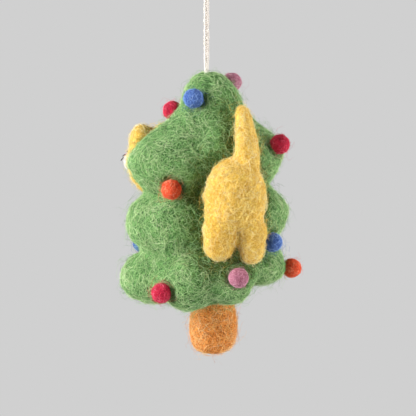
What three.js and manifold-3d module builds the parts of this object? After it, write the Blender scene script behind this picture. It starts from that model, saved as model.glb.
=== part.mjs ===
// A hanging ornament of needle-felted wool: a tree of three lobed tiers on a core, with a trunk,
// a cat that goes through it (rump, hind legs and tail behind, head in front), felt balls that
// are stuck on all round, and a loop of cotton cord knotted inside the top.
// Millimetres, +Z up. The origin is where the loop hangs, under the top of its arch.
// Azimuths are in degrees: 0 is the cat's face, towards -Y, and 90 is towards +X.
import * as THREE from 'three';
import { mergeVertices } from 'three/addons/utils/BufferGeometryUtils.js';
import Module from 'manifold-3d';

const wasm = await Module();
wasm.setup();

// Fits
const CLEARANCE = 0.3;
const CUT_CLEARANCE = 0.45;

// Hanging loop
const CORD_DIAMETER = 0.8;
const CORD_SIDES = 8;
const CORD_STEPS = 72;
const LOOP_PLANE_AZIMUTH = 210;
const LOOP_EXIT_GAP = 0.6;
// One half of the loop, from the tree up to the top of the arch: sideways and up from the origin
const LOOP_HALF = [
  [0.52, -46], [0.52, -43.5], [0.52, -39], [0.52, -33], [0.52, -27], [0.52, -21], [0.55, -16.5],
  [0.76, -13.5], [1.42, -10.4], [2.25, -7.6], [2.85, -5], [3, -2.7], [2.2, -0.5],
];
const LOOP_ARCH_TOP = [0, CORD_DIAMETER / 2];

// Tree: each tier swells into lobes. Outlines go from its foot to its top, as shares of its own
// reach and height, once through a lobe and once through the valley between two lobes.
const TRUNK_SHOWN = 24.5;
const TIER_SEGMENTS = 48;
const TIERS = {
  bottom: {
    height: 18.5,
    reach: 33.5,
    lean: 0,
    lobes: [
      { azimuth: 40, width: 26, reach: 1.05, drop: 2.2 },
      { azimuth: 104, width: 19, reach: 0.95, drop: 2.4 },
      { azimuth: 146, width: 15, reach: 0.8, drop: 0.8 },
      { azimuth: 169, width: 9, reach: -0.25, drop: -5.4 },
      { azimuth: 192, width: 18, reach: 0.82, drop: -4 },
      { azimuth: 240, width: 22, reach: 0.9, drop: 0 },
      { azimuth: 290, width: 21, reach: 0.9, drop: 0.6 },
      { azimuth: 342, width: 22, reach: 0.95, drop: 0.9 },
    ],
    lobe: [[0.52, 0], [0.76, 0.02], [0.92, 0.16], [1, 0.4], [0.97, 0.64], [0.86, 0.86], [0.68, 1]],
    valley: [[0.52, 0.1], [0.66, 0.12], [0.76, 0.24], [0.81, 0.42], [0.81, 0.64], [0.76, 0.86], [0.65, 1]],
  },
  middle: {
    height: 22.6,
    reach: 32.8,
    lean: 0,
    lobes: [
      { azimuth: 45, width: 27, reach: 0.8, drop: 0 },
      { azimuth: 108, width: 18, reach: -0.75, drop: 0 },
      { azimuth: 150, width: 20, reach: 0.5, drop: 0 },
      { azimuth: 205, width: 24, reach: 0.78, drop: 0 },
      { azimuth: 266, width: 23, reach: 0.9, drop: 0 },
      { azimuth: 322, width: 22, reach: 0.8, drop: 0 },
    ],
    lobe: [[0.68, 0], [0.84, 0.09], [0.97, 0.3], [1, 0.53], [0.94, 0.75], [0.8, 0.93], [0.65, 1]],
    valley: [[0.65, 0], [0.76, 0.1], [0.84, 0.3], [0.85, 0.53], [0.81, 0.75], [0.72, 0.93], [0.62, 1]],
  },
  top: {
    height: 45.6,
    reach: 31,
    lean: 1.6,
    lobes: [
      { azimuth: 49, width: 29, reach: 1.18, drop: 0 },
      { azimuth: 114, width: 18, reach: -0.5, drop: 0 },
      { azimuth: 160, width: 18, reach: 0.4, drop: 0 },
      { azimuth: 206, width: 24, reach: 0.72, drop: 0 },
      { azimuth: 260, width: 23, reach: 0.9, drop: 0 },
      { azimuth: 312, width: 23, reach: 0.95, drop: 0 },
    ],
    lobe: [
      [0.66, 0], [0.82, 0.058], [0.93, 0.14], [1, 0.255], [0.97, 0.345], [0.84, 0.435], [0.66, 0.525],
      [0.48, 0.62], [0.39, 0.715], [0.334, 0.81], [0.262, 0.895], [0.17, 0.96], [0.055, 1],
    ],
    valley: [
      [0.63, 0], [0.72, 0.054], [0.77, 0.12], [0.775, 0.22], [0.735, 0.32], [0.65, 0.42], [0.55, 0.515],
      [0.44, 0.615], [0.38, 0.715], [0.332, 0.81], [0.262, 0.895], [0.17, 0.96], [0.055, 1],
    ],
  },
};
const LEAN_AZIMUTH = 210;
const LEAN_SCALE = 1.5;
// Degrees by which the tiers stand higher on the side of the lean
const TIER_TILT = 2.7;
// Where the middle tier is widest, as a share of its height
const MIDDLE_TIER_BULGE = 0.55;

// Core of the tree and the knot of the loop inside its top
const CORE_RADIUS = 8.2;
const CORE_TOP_RADIUS = 4.5;
const CORE_TOP_INSIDE = 18;
const CORE_SHOULDER_RISE = 0.8;
const KNOT_RADIUS = 2.3;
const KNOT_HEIGHT = 4.2;

// Trunk
const TRUNK_RADIUS = 9.2;
const TRUNK_INSIDE = 5.5;
const TRUNK_SHIFT = 2.7;
const TRUNK_SHIFT_EASE = 4;

// Cat: up is a share of the height of the tier that a piece sits on
const RUMP = { azimuth: 143.8, up: 1.053, half: { side: 11.3, out: 11.4, up: 14 }, sink: 2.4 };
const LEG = { length: 18.6, hipRadius: 6.2, hipDrop: 4.1, standoff: 1.6 };
const LEGS = {
  cat_hind_leg_left: { azimuth: 131, splay: -2.2, foot: 5.8, stretch: 0.9 },
  cat_hind_leg_right: { azimuth: 151.4, splay: 0.6, foot: 4.8, stretch: 2.9 },
};
const TAIL = {
  azimuth: 147.6, tipAzimuth: 161, rootRise: 7.8, root: 4.8, tip: 2.8, length: 25.6, standoff: 4.6,
};
const HEAD = { azimuth: 0, up: 0.192, half: { side: 14.2, out: 13.4, up: 13.8 }, sink: 3.6, tilt: 4 };
const EAR = {
  width: 10.8, height: 5.2, thickness: 8, inside: 8, sink: 1.2, spread: 36, forward: 4.5, lean: 18,
};
const MUZZLE = { half: { side: 6, out: 3.6, up: 4.4 }, drop: 0.6, sink: 0.6 };
const NOSE = { half: { side: 1.7, out: 1.2, up: 1.2 }, rise: 1.8 };
const EYE = { radius: 1.35, spread: 18, rise: 26, sink: 0.5 };
const WHISKER = {
  length: 3.4, thickness: 0.4, sides: 5, steps: 5, rise: 2.7, spacing: 1.2, fan: 9, sag: 0.4, sweep: 0.3,
};
const WHISKER_ROWS = [1, 0, -1];
// How far round from the muzzle's front the whiskers leave it
const WHISKER_TURN = 50;

// Felt balls: where each sits, as a share of its tier's height, and its wool
const BALL_DIAMETER = 7.7;
const BALL_SINK = 1.1;
const SLOPE_STEP = 0.5;
const BALLS = [
  { tier: 'top', azimuth: 97, up: 0.782, wool: 'blue' },
  { tier: 'top', azimuth: 247, up: 0.863, wool: 'mauve' },
  { tier: 'top', azimuth: 7, up: 0.63, wool: 'crimson' },
  { tier: 'top', azimuth: 89.5, up: 0.094, wool: 'orange' },
  { tier: 'top', azimuth: 193.5, up: 0.37, wool: 'crimson' },
  { tier: 'top', azimuth: 296, up: 0.5, wool: 'blue' },
  { tier: 'top', azimuth: 286, up: 0.06, wool: 'orange' },
  { tier: 'middle', azimuth: 179, up: 0.252, wool: 'blue' },
  { tier: 'bottom', azimuth: 18, up: 0.87, wool: 'blue' },
  { tier: 'middle', azimuth: 252, up: 0.4, wool: 'mauve' },
  { tier: 'middle', azimuth: 335, up: 0.3, wool: 'orange' },
  { tier: 'bottom', azimuth: 203, up: 0.556, wool: 'orange' },
  { tier: 'bottom', azimuth: 141, up: 0.64, wool: 'mauve' },
  { tier: 'bottom', azimuth: 89, up: 0.343, wool: 'crimson' },
  { tier: 'bottom', azimuth: 300, up: 0.5, wool: 'crimson' },
  { tier: 'bottom', azimuth: 342, up: 0.4, wool: 'mauve' },
];

const COLOURS = {
  green: 0x7fb05a, coreWool: 0xe6dfcf, brown: 0xc97a3c, yellow: 0xf0c368, white: 0xf2efe6, pink: 0xd98a8c,
  black: 0x15130f, blue: 0x456cb0, mauve: 0xbb7688, crimson: 0xc02a48, orange: 0xdb5638, cotton: 0xefe7da,
};
const WOOL_ROUGHNESS = 1;
const BEAD_ROUGHNESS = 0.25;

// Facets round a large piece, a limb and a small piece, and from pole to pole of a large and a small one
const LARGE_FACETS = 28;
const LIMB_FACETS = 18;
const SMALL_FACETS = 12;
const LARGE_RINGS = 18;
const SMALL_RINGS = 8;

const radians = THREE.MathUtils.degToRad;
const UP = new THREE.Vector3(0, 0, 1);

// A point at an azimuth, a distance from the tree's axis and a height over the trunk's foot
function around(azimuth, distance, height) {
  const turn = radians(azimuth);
  return new THREE.Vector3(distance * Math.sin(turn), -distance * Math.cos(turn), height);
}

// One closed body with shared corners and no empty triangles
function closed(geometry) {
  const bare = geometry.clone();
  bare.deleteAttribute('normal');
  bare.deleteAttribute('uv');
  const merged = mergeVertices(bare);
  const corners = [];
  const index = merged.index.array;
  for (let i = 0; i < index.length; i += 3) {
    const [a, b, c] = index.slice(i, i + 3);
    if (a !== b && b !== c && c !== a) corners.push(a, b, c);
  }
  merged.setIndex(corners);
  merged.computeVertexNormals();
  return merged;
}

// The same body with its skin pushed out by a clearance
function grown(geometry, clearance) {
  const body = closed(geometry);
  const { position, normal } = body.attributes;
  for (let i = 0; i < position.count; i++) {
    position.setXYZ(
      i,
      position.getX(i) + clearance * normal.getX(i),
      position.getY(i) + clearance * normal.getY(i),
      position.getZ(i) + clearance * normal.getZ(i),
    );
  }
  return body;
}

function solidOf(geometry) {
  const body = closed(geometry);
  return new wasm.Manifold(new wasm.Mesh({
    numProp: 3,
    vertProperties: new Float32Array(body.attributes.position.array),
    triVerts: new Uint32Array(body.index.array),
  }));
}

function geometryOf(solid) {
  const { vertProperties, triVerts } = solid.getMesh();
  const geometry = new THREE.BufferGeometry();
  geometry.setAttribute('position', new THREE.BufferAttribute(vertProperties, 3));
  geometry.setIndex(new THREE.BufferAttribute(triVerts, 1));
  geometry.computeVertexNormals();
  return geometry;
}

// What is left of a piece outside the pieces that carry it, as its largest body
function seated(piece, carriers) {
  const cut = carriers.reduce(
    (left, carrier) => left.subtract(solidOf(grown(carrier, CUT_CLEARANCE))),
    solidOf(piece),
  );
  const bodies = cut.decompose().sort((a, b) => b.volume() - a.volume());
  return geometryOf(bodies[0]);
}

// A body of revolution about +Z from [radius, height] points that go up its outside
function turned(points, segments) {
  const profile = points.map(([radius, height]) => new THREE.Vector2(radius, height));
  return new THREE.LatheGeometry(profile, segments).rotateX(Math.PI / 2);
}

// A body of revolution whose axis is bent along a curve, from the curve's start to its end
function bentAlong(curve, points, segments) {
  const body = turned(points, segments);
  const length = points.at(-1)[1];
  const { position } = body.attributes;
  for (let i = 0; i < position.count; i++) {
    const share = THREE.MathUtils.clamp(position.getZ(i) / length, 0, 1);
    const frame = new THREE.Quaternion().setFromUnitVectors(UP, curve.getTangentAt(share));
    const spoke = new THREE.Vector3(position.getX(i), position.getY(i), 0).applyQuaternion(frame);
    position.setXYZ(i, ...curve.getPointAt(share).add(spoke));
  }
  return body;
}

// A thread or cord of a given thickness along a curve
function threadAlong(path, thickness, sides, steps) {
  const corners = Array.from({ length: sides }, (_, i) => {
    const turn = (i / sides) * 2 * Math.PI;
    return new THREE.Vector2(Math.cos(turn), Math.sin(turn)).multiplyScalar(thickness / 2);
  });
  return new THREE.ExtrudeGeometry(new THREE.Shape(corners), { extrudePath: path, steps });
}

// A ball stretched to its half sizes: side (X), out (-Y) and up (Z)
function egg(half, segments, rings) {
  const ball = new THREE.SphereGeometry(1, segments, rings).rotateX(Math.PI / 2);
  return ball.scale(half.side, half.out, half.up);
}

// Turns a piece made facing -Y to an azimuth and puts its centre at a point
function facing(geometry, azimuth, centre) {
  return geometry.rotateZ(radians(azimuth)).translate(...centre);
}

// Heights of the tiers over the trunk's foot
TIERS.bottom.foot = TRUNK_SHOWN;
TIERS.middle.foot = TIERS.bottom.foot + TIERS.bottom.height + CLEARANCE;
TIERS.top.foot = TIERS.middle.foot + TIERS.middle.height + CLEARANCE;
const TREE_HEIGHT = TIERS.top.foot + TIERS.top.height;

function heightIn(tier, share) {
  return TIERS[tier].foot + share * TIERS[tier].height;
}

function turnBetween(azimuth, other) {
  return THREE.MathUtils.euclideanModulo(azimuth - other + 180, 360) - 180;
}

// How much of a lobe there is at an azimuth: its swelling and its drop
function lobeAt(tier, azimuth) {
  return tier.lobes.reduce((sum, lobe) => {
    const share = Math.exp(-((turnBetween(azimuth, lobe.azimuth) / lobe.width) ** 2));
    return { swell: sum.swell + share * lobe.reach, drop: sum.drop + share * lobe.drop };
  }, { swell: 0, drop: 0 });
}

// A tier's outline at an azimuth, from foot to top, as [radius, height over the trunk's foot].
// A drop lowers the foot of a lobe, a lean shifts the upper part of the tier to one side, and a tilt
// lifts the tier there.
function outlineAt(tier, azimuth) {
  const { swell, drop } = lobeAt(tier, azimuth);
  const towardsLean = Math.cos(radians(turnBetween(azimuth, LEAN_AZIMUTH)));
  return tier.lobe.map(([lobeOut, lobeUp], i) => {
    const [valleyOut, valleyUp] = tier.valley[i];
    const up = THREE.MathUtils.lerp(valleyUp, lobeUp, Math.min(swell, 1));
    const shift = tier.lean * towardsLean * LEAN_SCALE * up * (1 - up ** 6);
    const radius = tier.reach * (valleyOut + swell * (lobeOut - valleyOut)) + shift;
    const tilt = Math.tan(radians(TIER_TILT)) * towardsLean * radius;
    return [radius, tier.foot + up * tier.height - drop * (1 - up) ** 2 + tilt];
  });
}

// The distance from the tree's axis to its skin
function skinAt(tierName, azimuth, height) {
  const outline = outlineAt(TIERS[tierName], azimuth);
  const below = outline.filter(([, z]) => z < height).length;
  const above = THREE.MathUtils.clamp(below, 1, outline.length - 1);
  const [[lowOut, low], [highOut, high]] = [outline[above - 1], outline[above]];
  return THREE.MathUtils.mapLinear(height, low, high, lowOut, highOut);
}

// A tier, open along its axis round a bore given as [radius, height] points from top to foot,
// or whole where there is no bore
function tierBody(tier, bore) {
  const count = tier.lobe.length;
  const inner = bore.length ? bore : [[0, tier.foot + tier.height], [0, tier.foot]];
  const ring = [...outlineAt(tier, 0), ...inner];
  const body = turned([...ring, ring[0]], TIER_SEGMENTS);
  const { position } = body.attributes;
  const perSegment = ring.length + 1;
  for (let segment = 0; segment <= TIER_SEGMENTS; segment++) {
    const azimuth = (segment % TIER_SEGMENTS) * 360 / TIER_SEGMENTS;
    const outline = outlineAt(tier, azimuth);
    outline.forEach(([radius, height], i) => {
      const corner = around(azimuth, radius, height);
      position.setXYZ(segment * perSegment + i, ...corner);
      if (i === 0) position.setXYZ(segment * perSegment + count + inner.length, ...corner);
    });
  }
  return body;
}

// Core, knot and the bores round them
const coreFoot = TRUNK_SHOWN + TRUNK_INSIDE + CLEARANCE;
const coreTop = TREE_HEIGHT - CORE_TOP_INSIDE;
const coreShoulder = TIERS.top.foot + CORE_SHOULDER_RISE;
const boreRadius = CORE_RADIUS + CLEARANCE;
const knotFoot = coreTop + CLEARANCE;
const knotTop = knotFoot + KNOT_HEIGHT;
const throatRadius = LOOP_HALF[0][0] + CORD_DIAMETER / 2 + CLEARANCE;
const boreThrough = (tier) => [[boreRadius, tier.foot + tier.height], [boreRadius, tier.foot]];
const topBore = [
  [throatRadius, TREE_HEIGHT],
  [throatRadius, knotTop + CLEARANCE],
  [KNOT_RADIUS + CLEARANCE, knotTop + CLEARANCE],
  [KNOT_RADIUS + CLEARANCE, knotFoot],
  [CORE_TOP_RADIUS + CLEARANCE, knotFoot],
  [boreRadius, coreShoulder],
  [boreRadius, TIERS.top.foot],
];
const tierSkins = Object.values(TIERS).map((tier) => tierBody(tier, []));

function makeCore() {
  return turned([
    [0, coreFoot], [CORE_RADIUS, coreFoot], [CORE_RADIUS, coreShoulder],
    [CORE_TOP_RADIUS, coreTop], [0, coreTop],
  ], LIMB_FACETS);
}

// Two strands go down the throat of the top tier into one knot on the core
function makeKnot() {
  const half = { side: KNOT_RADIUS, out: KNOT_RADIUS, up: KNOT_HEIGHT / 2 };
  const middle = knotFoot + half.up;
  const knot = egg(half, SMALL_FACETS, SMALL_RINGS).translate(0, 0, middle);
  const strandLength = TREE_HEIGHT - middle;
  const strands = [-1, 1].map((side) => {
    const foot = around(LOOP_PLANE_AZIMUTH, side * LOOP_HALF[0][0], middle);
    return new THREE.CylinderGeometry(CORD_DIAMETER / 2, CORD_DIAMETER / 2, strandLength, CORD_SIDES)
      .rotateX(Math.PI / 2).translate(foot.x, foot.y, foot.z + strandLength / 2);
  });
  return geometryOf(strands.reduce((solid, strand) => solid.add(solidOf(strand)), solidOf(knot)));
}

// The trunk stands a little to one side of the axis below the tiers, and is on the axis inside them
function makeTrunk() {
  const top = TRUNK_SHOWN + TRUNK_INSIDE;
  const belly = TRUNK_RADIUS;
  const shown = TRUNK_SHOWN;
  const neck = shown * 0.98;
  const body = turned([
    [0, 0], [belly * 0.5, shown * 0.016], [belly * 0.8, shown * 0.08], [belly * 0.95, shown * 0.2],
    [belly, shown * 0.4], [belly * 0.95, shown * 0.6], [belly * 0.88, shown * 0.76],
    [belly * 0.88, shown * 0.87], [CORE_RADIUS, neck], [CORE_RADIUS, top], [0, top],
  ], LARGE_FACETS);
  const { position } = body.attributes;
  for (let i = 0; i < position.count; i++) {
    const height = position.getZ(i);
    const share = 1 - THREE.MathUtils.smoothstep(height, neck - TRUNK_SHIFT_EASE, neck);
    const shift = around(LEAN_AZIMUTH, TRUNK_SHIFT * share, 0);
    position.setXYZ(i, position.getX(i) + shift.x, position.getY(i) + shift.y, height);
  }
  return body;
}

const rumpHeight = heightIn('middle', RUMP.up);
const rumpSkin = skinAt('middle', RUMP.azimuth, heightIn('middle', MIDDLE_TIER_BULGE));
const rumpCentre = around(RUMP.azimuth, rumpSkin - RUMP.sink, rumpHeight);
const rumpWhole = facing(egg(RUMP.half, LARGE_FACETS, LARGE_RINGS), RUMP.azimuth, rumpCentre);

// A hind leg hangs from the rump against the middle tier, splayed by some degrees, and ends in a round foot
function makeLeg({ azimuth, splay, foot, stretch }) {
  const hipHeight = rumpHeight - LEG.hipDrop;
  const length = LEG.length + stretch;
  const out = skinAt('middle', azimuth, heightIn('middle', MIDDLE_TIER_BULGE)) + LEG.standoff;
  const curve = new THREE.QuadraticBezierCurve3(
    around(azimuth + splay, out + foot * 0.12, hipHeight - length),
    around(azimuth + splay / 2, out + foot * 0.2, hipHeight - length / 2),
    around(azimuth, out - foot * 0.35, hipHeight),
  );
  const end = curve.getLength();
  return bentAlong(curve, [
    [0, 0], [foot * 0.5, end * 0.033], [foot * 0.83, end * 0.125], [foot * 0.98, end * 0.27],
    [foot, end * 0.43], [LEG.hipRadius * 0.97, end * 0.6], [LEG.hipRadius * 0.8, end * 0.85], [0, end],
  ], LIMB_FACETS);
}

// The tail stands up from the rump along the top tier and tapers to a round tip
function makeTail() {
  const rootHeight = rumpHeight + TAIL.rootRise;
  const tipHeight = rootHeight + TAIL.length;
  const midHeight = rootHeight + TAIL.length / 2;
  const midAzimuth = (TAIL.azimuth + TAIL.tipAzimuth) / 2;
  const tipOut = skinAt('top', TAIL.tipAzimuth, tipHeight) + TAIL.tip + TAIL.standoff;
  const midOut = skinAt('top', midAzimuth, midHeight) + TAIL.root + TAIL.standoff / 2;
  const rootOut = rumpSkin - RUMP.sink + RUMP.half.out * 0.45;
  const curve = new THREE.QuadraticBezierCurve3(
    around(TAIL.azimuth, rootOut, rootHeight),
    around(midAzimuth, midOut, midHeight),
    around(TAIL.tipAzimuth, tipOut, tipHeight),
  );
  const end = curve.getLength();
  const tip = TAIL.tip;
  return bentAlong(curve, [
    [0, 0], [TAIL.root, end * 0.02], [TAIL.root * 0.96, end * 0.25], [TAIL.root * 0.86, end * 0.5],
    [THREE.MathUtils.lerp(TAIL.root, tip, 0.75), end * 0.75], [tip, end * 0.9], [tip * 0.6, end * 0.975],
    [0, end],
  ], LIMB_FACETS);
}

// The head is made at the origin, facing -Y, and every piece on it follows it to its place
const headHeight = heightIn('top', HEAD.up);
const headCentre = around(HEAD.azimuth, skinAt('top', HEAD.azimuth, headHeight) - HEAD.sink, headHeight);
const atHead = (geometry) => facing(geometry.rotateY(-radians(HEAD.tilt)), HEAD.azimuth, headCentre);

// The point on the head's skin at a turn to its left and a rise over its middle, and a bit proud
function onHead(turn, rise, proud = 0) {
  const { side, out, up } = HEAD.half;
  const flat = Math.cos(radians(rise));
  return new THREE.Vector3(
    (side + proud) * flat * Math.sin(radians(turn)),
    -(out + proud) * flat * Math.cos(radians(turn)),
    (up + proud) * Math.sin(radians(rise)),
  );
}

const headWhole = atHead(egg(HEAD.half, LARGE_FACETS, LARGE_RINGS));

// An ear is a flattened cone with a round tip; side is 1 for the cat's left and -1 for its right
function makeEar(side) {
  const wide = EAR.width / 2;
  const ear = turned([
    [0, -EAR.inside], [wide, -EAR.inside], [wide * 0.97, EAR.height * 0.2], [wide * 0.84, EAR.height * 0.5],
    [wide * 0.6, EAR.height * 0.78], [wide * 0.32, EAR.height * 0.95], [0, EAR.height],
  ], LIMB_FACETS).scale(1, EAR.thickness / EAR.width, 1);
  const spread = radians(EAR.spread);
  const root = new THREE.Vector3(
    side * HEAD.half.side * Math.sin(spread),
    -EAR.forward,
    HEAD.half.up * Math.cos(spread) - EAR.sink,
  );
  return atHead(ear.rotateY(side * radians(EAR.lean)).translate(root.x, root.y, root.z));
}

const muzzleCentre = new THREE.Vector3(0, -HEAD.half.out + MUZZLE.sink, -MUZZLE.drop);
const muzzleWhole = atHead(egg(MUZZLE.half, LIMB_FACETS, SMALL_FACETS).translate(...muzzleCentre));

function makeNose() {
  const rise = NOSE.rise / MUZZLE.half.up;
  const out = MUZZLE.half.out * Math.sqrt(1 - rise ** 2);
  const nose = egg(NOSE.half, SMALL_FACETS, SMALL_RINGS);
  return atHead(nose.translate(0, muzzleCentre.y - out, muzzleCentre.z + NOSE.rise));
}

function makeEye(side) {
  const spot = onHead(side * EYE.spread, EYE.rise, -EYE.sink);
  return atHead(new THREE.SphereGeometry(EYE.radius, SMALL_FACETS, SMALL_RINGS).translate(...spot));
}

// A whisker is a stiff thread that leaves the muzzle's side in one of three rows and droops a little
function makeWhisker(side, row) {
  const sideways = radians(row * WHISKER.fan);
  const rise = WHISKER.rise + row * WHISKER.spacing;
  const shrink = Math.sqrt(1 - (rise / MUZZLE.half.up) ** 2);
  const turn = radians(WHISKER_TURN);
  const root = new THREE.Vector3(
    side * (MUZZLE.half.side * shrink * Math.sin(turn) + CLEARANCE),
    muzzleCentre.y - MUZZLE.half.out * shrink * Math.cos(turn) - CLEARANCE,
    muzzleCentre.z + rise,
  );
  const reach = new THREE.Vector3(side * Math.cos(sideways), WHISKER.sweep, Math.sin(sideways)).normalize();
  const tip = root.clone().addScaledVector(reach, WHISKER.length).addScaledVector(UP, -WHISKER.sag);
  const middle = root.clone().addScaledVector(reach, WHISKER.length / 2);
  const path = new THREE.QuadraticBezierCurve3(root, middle, tip);
  return atHead(threadAlong(path, WHISKER.thickness, WHISKER.sides, WHISKER.steps));
}

// A ball sits square on the wool, pressed in a little
function makeBall({ tier, azimuth, up }) {
  const height = heightIn(tier, up);
  const skin = skinAt(tier, azimuth, height);
  const rise = skinAt(tier, azimuth, height + SLOPE_STEP) - skinAt(tier, azimuth, height - SLOPE_STEP);
  const slope = rise / (2 * SLOPE_STEP);
  const outward = around(azimuth, 1, -slope).normalize();
  const centre = around(azimuth, skin, height).addScaledVector(outward, BALL_DIAMETER / 2 - BALL_SINK);
  return new THREE.SphereGeometry(BALL_DIAMETER / 2, SMALL_FACETS, SMALL_RINGS).translate(...centre);
}

// The loop leaves the tree as two strands side by side and opens into an arch at its top
function makeLoop() {
  const half = LOOP_HALF.map(([side, up]) => around(LOOP_PLANE_AZIMUTH, side, up));
  const arch = around(LOOP_PLANE_AZIMUTH, ...LOOP_ARCH_TOP);
  const back = LOOP_HALF.map(([side, up]) => around(LOOP_PLANE_AZIMUTH, -side, up)).reverse();
  const path = new THREE.CatmullRomCurve3([...half, arch, ...back], false, 'centripetal');
  return threadAlong(path, CORD_DIAMETER, CORD_SIDES, CORD_STEPS);
}

function mesh(name, geometry, colour, roughness = WOOL_ROUGHNESS) {
  const material = new THREE.MeshStandardMaterial({ color: COLOURS[colour], roughness, metalness: 0 });
  const made = new THREE.Mesh(geometry, material);
  made.name = name;
  return made;
}

// The tree hangs under its loop
const tree = new THREE.Group();
tree.position.z = LOOP_HALF[0][1] - LOOP_EXIT_GAP - TREE_HEIGHT;

tree.add(
  mesh('wool_core', closed(makeCore()), 'coreWool'),
  mesh('bottom_tier', closed(tierBody(TIERS.bottom, boreThrough(TIERS.bottom))), 'green'),
  mesh('middle_tier', closed(tierBody(TIERS.middle, boreThrough(TIERS.middle))), 'green'),
  mesh('top_tier', closed(tierBody(TIERS.top, topBore)), 'green'),
  mesh('trunk', closed(makeTrunk()), 'brown'),
  mesh('loop_knot', makeKnot(), 'cotton'),
);

const rump = seated(rumpWhole, tierSkins);
tree.add(mesh('cat_rump', rump, 'yellow'));
const rumpCarriers = [...tierSkins, rumpWhole];
const legCarriers = [...rumpCarriers];
for (const [name, leg] of Object.entries(LEGS)) {
  const whole = makeLeg(leg);
  tree.add(mesh(name, seated(whole, legCarriers), 'yellow'));
  legCarriers.push(whole);
}
tree.add(mesh('cat_tail', seated(makeTail(), rumpCarriers), 'yellow'));

tree.add(mesh('cat_head', seated(headWhole, tierSkins), 'yellow'));
tree.add(mesh('cat_muzzle', seated(muzzleWhole, [headWhole, ...tierSkins]), 'white'));
tree.add(mesh('cat_nose', seated(makeNose(), [muzzleWhole, headWhole]), 'pink'));
for (const [hand, side] of [['left', 1], ['right', -1]]) {
  tree.add(mesh(`cat_ear_${hand}`, seated(makeEar(side), [headWhole, ...tierSkins]), 'yellow'));
  tree.add(mesh(`cat_eye_${hand}`, seated(makeEye(side), [headWhole, muzzleWhole]), 'black', BEAD_ROUGHNESS));
  WHISKER_ROWS.forEach((row, i) => {
    tree.add(mesh(`whisker_${hand}_${i + 1}`, closed(makeWhisker(side, row)), 'black'));
  });
}

BALLS.forEach((ball, i) => {
  const carriers = [...tierSkins, rumpWhole, headWhole];
  tree.add(mesh(`ball_${i + 1}_${ball.wool}`, seated(makeBall(ball), carriers), ball.wool));
});

const ornament = new THREE.Group();
ornament.add(tree, mesh('hanging_loop', closed(makeLoop()), 'cotton'));

export default ornament;
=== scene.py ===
"""Looks of a hanging ornament of needle-felted wool: a green tree of three lobed tiers with a trunk,
a yellow cat that goes through it, felt balls all round, and a loop of cotton cord to hang it by.
Metres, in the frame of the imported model: +Z is up and the origin is where the loop hangs."""

import math

import bmesh
import bpy
import numpy as np
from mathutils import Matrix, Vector, geometry, noise
from mathutils.bvhtree import BVHTree


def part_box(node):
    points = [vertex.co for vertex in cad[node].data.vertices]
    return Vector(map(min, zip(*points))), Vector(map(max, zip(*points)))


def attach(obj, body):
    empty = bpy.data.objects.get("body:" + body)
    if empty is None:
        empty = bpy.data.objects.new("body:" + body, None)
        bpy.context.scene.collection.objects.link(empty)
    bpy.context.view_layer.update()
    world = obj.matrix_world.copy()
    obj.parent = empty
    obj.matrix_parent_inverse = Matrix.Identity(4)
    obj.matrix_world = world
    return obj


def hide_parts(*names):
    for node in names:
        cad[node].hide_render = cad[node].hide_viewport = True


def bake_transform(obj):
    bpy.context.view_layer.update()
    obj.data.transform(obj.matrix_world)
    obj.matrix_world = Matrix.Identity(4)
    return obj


MM = 0.001
PER_SQUARE_MM = 1e6
UV_NAME = "OFBake"

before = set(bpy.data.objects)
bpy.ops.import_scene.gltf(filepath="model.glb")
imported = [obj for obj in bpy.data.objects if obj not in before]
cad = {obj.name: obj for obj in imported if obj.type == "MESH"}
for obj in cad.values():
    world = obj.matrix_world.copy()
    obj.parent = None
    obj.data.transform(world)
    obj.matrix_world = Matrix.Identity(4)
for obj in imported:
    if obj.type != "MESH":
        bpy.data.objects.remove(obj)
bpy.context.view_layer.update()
scene = bpy.context.scene


# Camera at the photograph's viewing angle
PICTURE_WIDTH = 416
FOCAL_PIXELS = 1650
SENSOR_WIDTH = 36
VIEW_AZIMUTH = 120
VIEW_ELEVATION = 10
VIEW_DISTANCE = 650 * MM
VIEW_AIM = Vector((-0.3, 0.51, -100.27)) * MM


def towards(azimuth, elevation=0):
    """The direction at an azimuth, 0 towards -Y and 90 towards +X, and an elevation, in degrees."""
    a, e = math.radians(azimuth), math.radians(elevation)
    return Vector((math.cos(e) * math.sin(a), -math.cos(e) * math.cos(a), math.sin(e)))


def linked(name, data):
    made = bpy.data.objects.new(name, data)
    scene.collection.objects.link(made)
    return made


def stand_at(obj, azimuth, elevation, distance):
    """Puts a camera or lamp at a distance from the middle of the picture, looking at it."""
    direction = towards(azimuth, elevation)
    obj.location = VIEW_AIM + distance * direction
    obj.rotation_euler = direction.to_track_quat("Z", "Y").to_euler()


def place_camera():
    """A camera whose focal length is that of the photograph, in pixels."""
    lens = bpy.data.cameras.new("camera")
    lens.sensor_width = SENSOR_WIDTH
    lens.lens = FOCAL_PIXELS / PICTURE_WIDTH * SENSOR_WIDTH
    camera = linked("camera", lens)
    stand_at(camera, VIEW_AZIMUTH, VIEW_ELEVATION, VIEW_DISTANCE)
    scene.camera = camera


place_camera()


# Meshes and node trees in general
def as_plain_mesh(obj):
    """The mesh that an object's modifiers make; the object itself goes."""
    depsgraph = bpy.context.evaluated_depsgraph_get()
    mesh = bpy.data.meshes.new_from_object(obj.evaluated_get(depsgraph), depsgraph=depsgraph)
    bpy.data.objects.remove(obj)
    return mesh


def modified(mesh, kind, **settings):
    """A mesh after one modifier."""
    work = linked("work", mesh)
    modifier = work.modifiers.new(kind, kind)
    for key, value in settings.items():
        setattr(modifier, key, value)
    return as_plain_mesh(work)


def grown_by(tree, mesh, values):
    """The mesh that a geometry node tree makes from a mesh, with values for its named inputs."""
    work = linked("work", mesh)
    modifier = work.modifiers.new("grow", "NODES")
    modifier.node_group = tree
    for item in tree.interface.items_tree:
        if item.item_type == "SOCKET" and item.in_out == "INPUT" and item.name in values:
            modifier[item.identifier] = values[item.name]
    return as_plain_mesh(work)


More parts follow.
